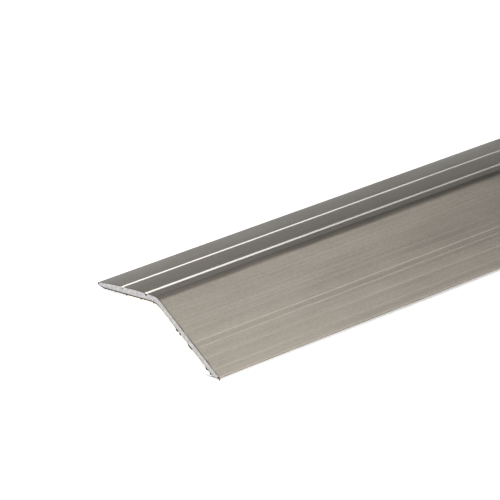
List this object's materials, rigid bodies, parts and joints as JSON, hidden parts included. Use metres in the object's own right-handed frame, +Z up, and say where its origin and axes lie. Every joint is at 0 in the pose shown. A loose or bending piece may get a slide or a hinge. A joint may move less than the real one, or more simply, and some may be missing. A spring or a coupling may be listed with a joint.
{
  "type": "threshold strip",
  "caption": "Self-adhesive aluminium threshold strip: a grooved flange and a plain ramp meet at a rounded nose, with taped undersides.",
  "frame": {"origin": "middle of the rectangle on which the strip stands, halfway along it and halfway between the flange's edge and the toe", "axes": "+X along the strip, +Y towards the grooved flange's edge, -Y towards the ramp's toe, +Z up through the nose"},
  "size_m": [0.9, 0.04, 0.0073],
  "materials": {
    "aluminium": "brushed, anodised champagne grey",
    "foam_tape": "matt closed-cell foam",
    "liner_paper": "silicone-coated paper"
  },
  "bodies": {
    "root": {"aluminium_profile": "aluminium", "flange_tape": "foam_tape", "leg_tape": "foam_tape", "flange_tape_liner": "liner_paper", "leg_tape_liner": "liner_paper"}
  },
  "joints": []
}
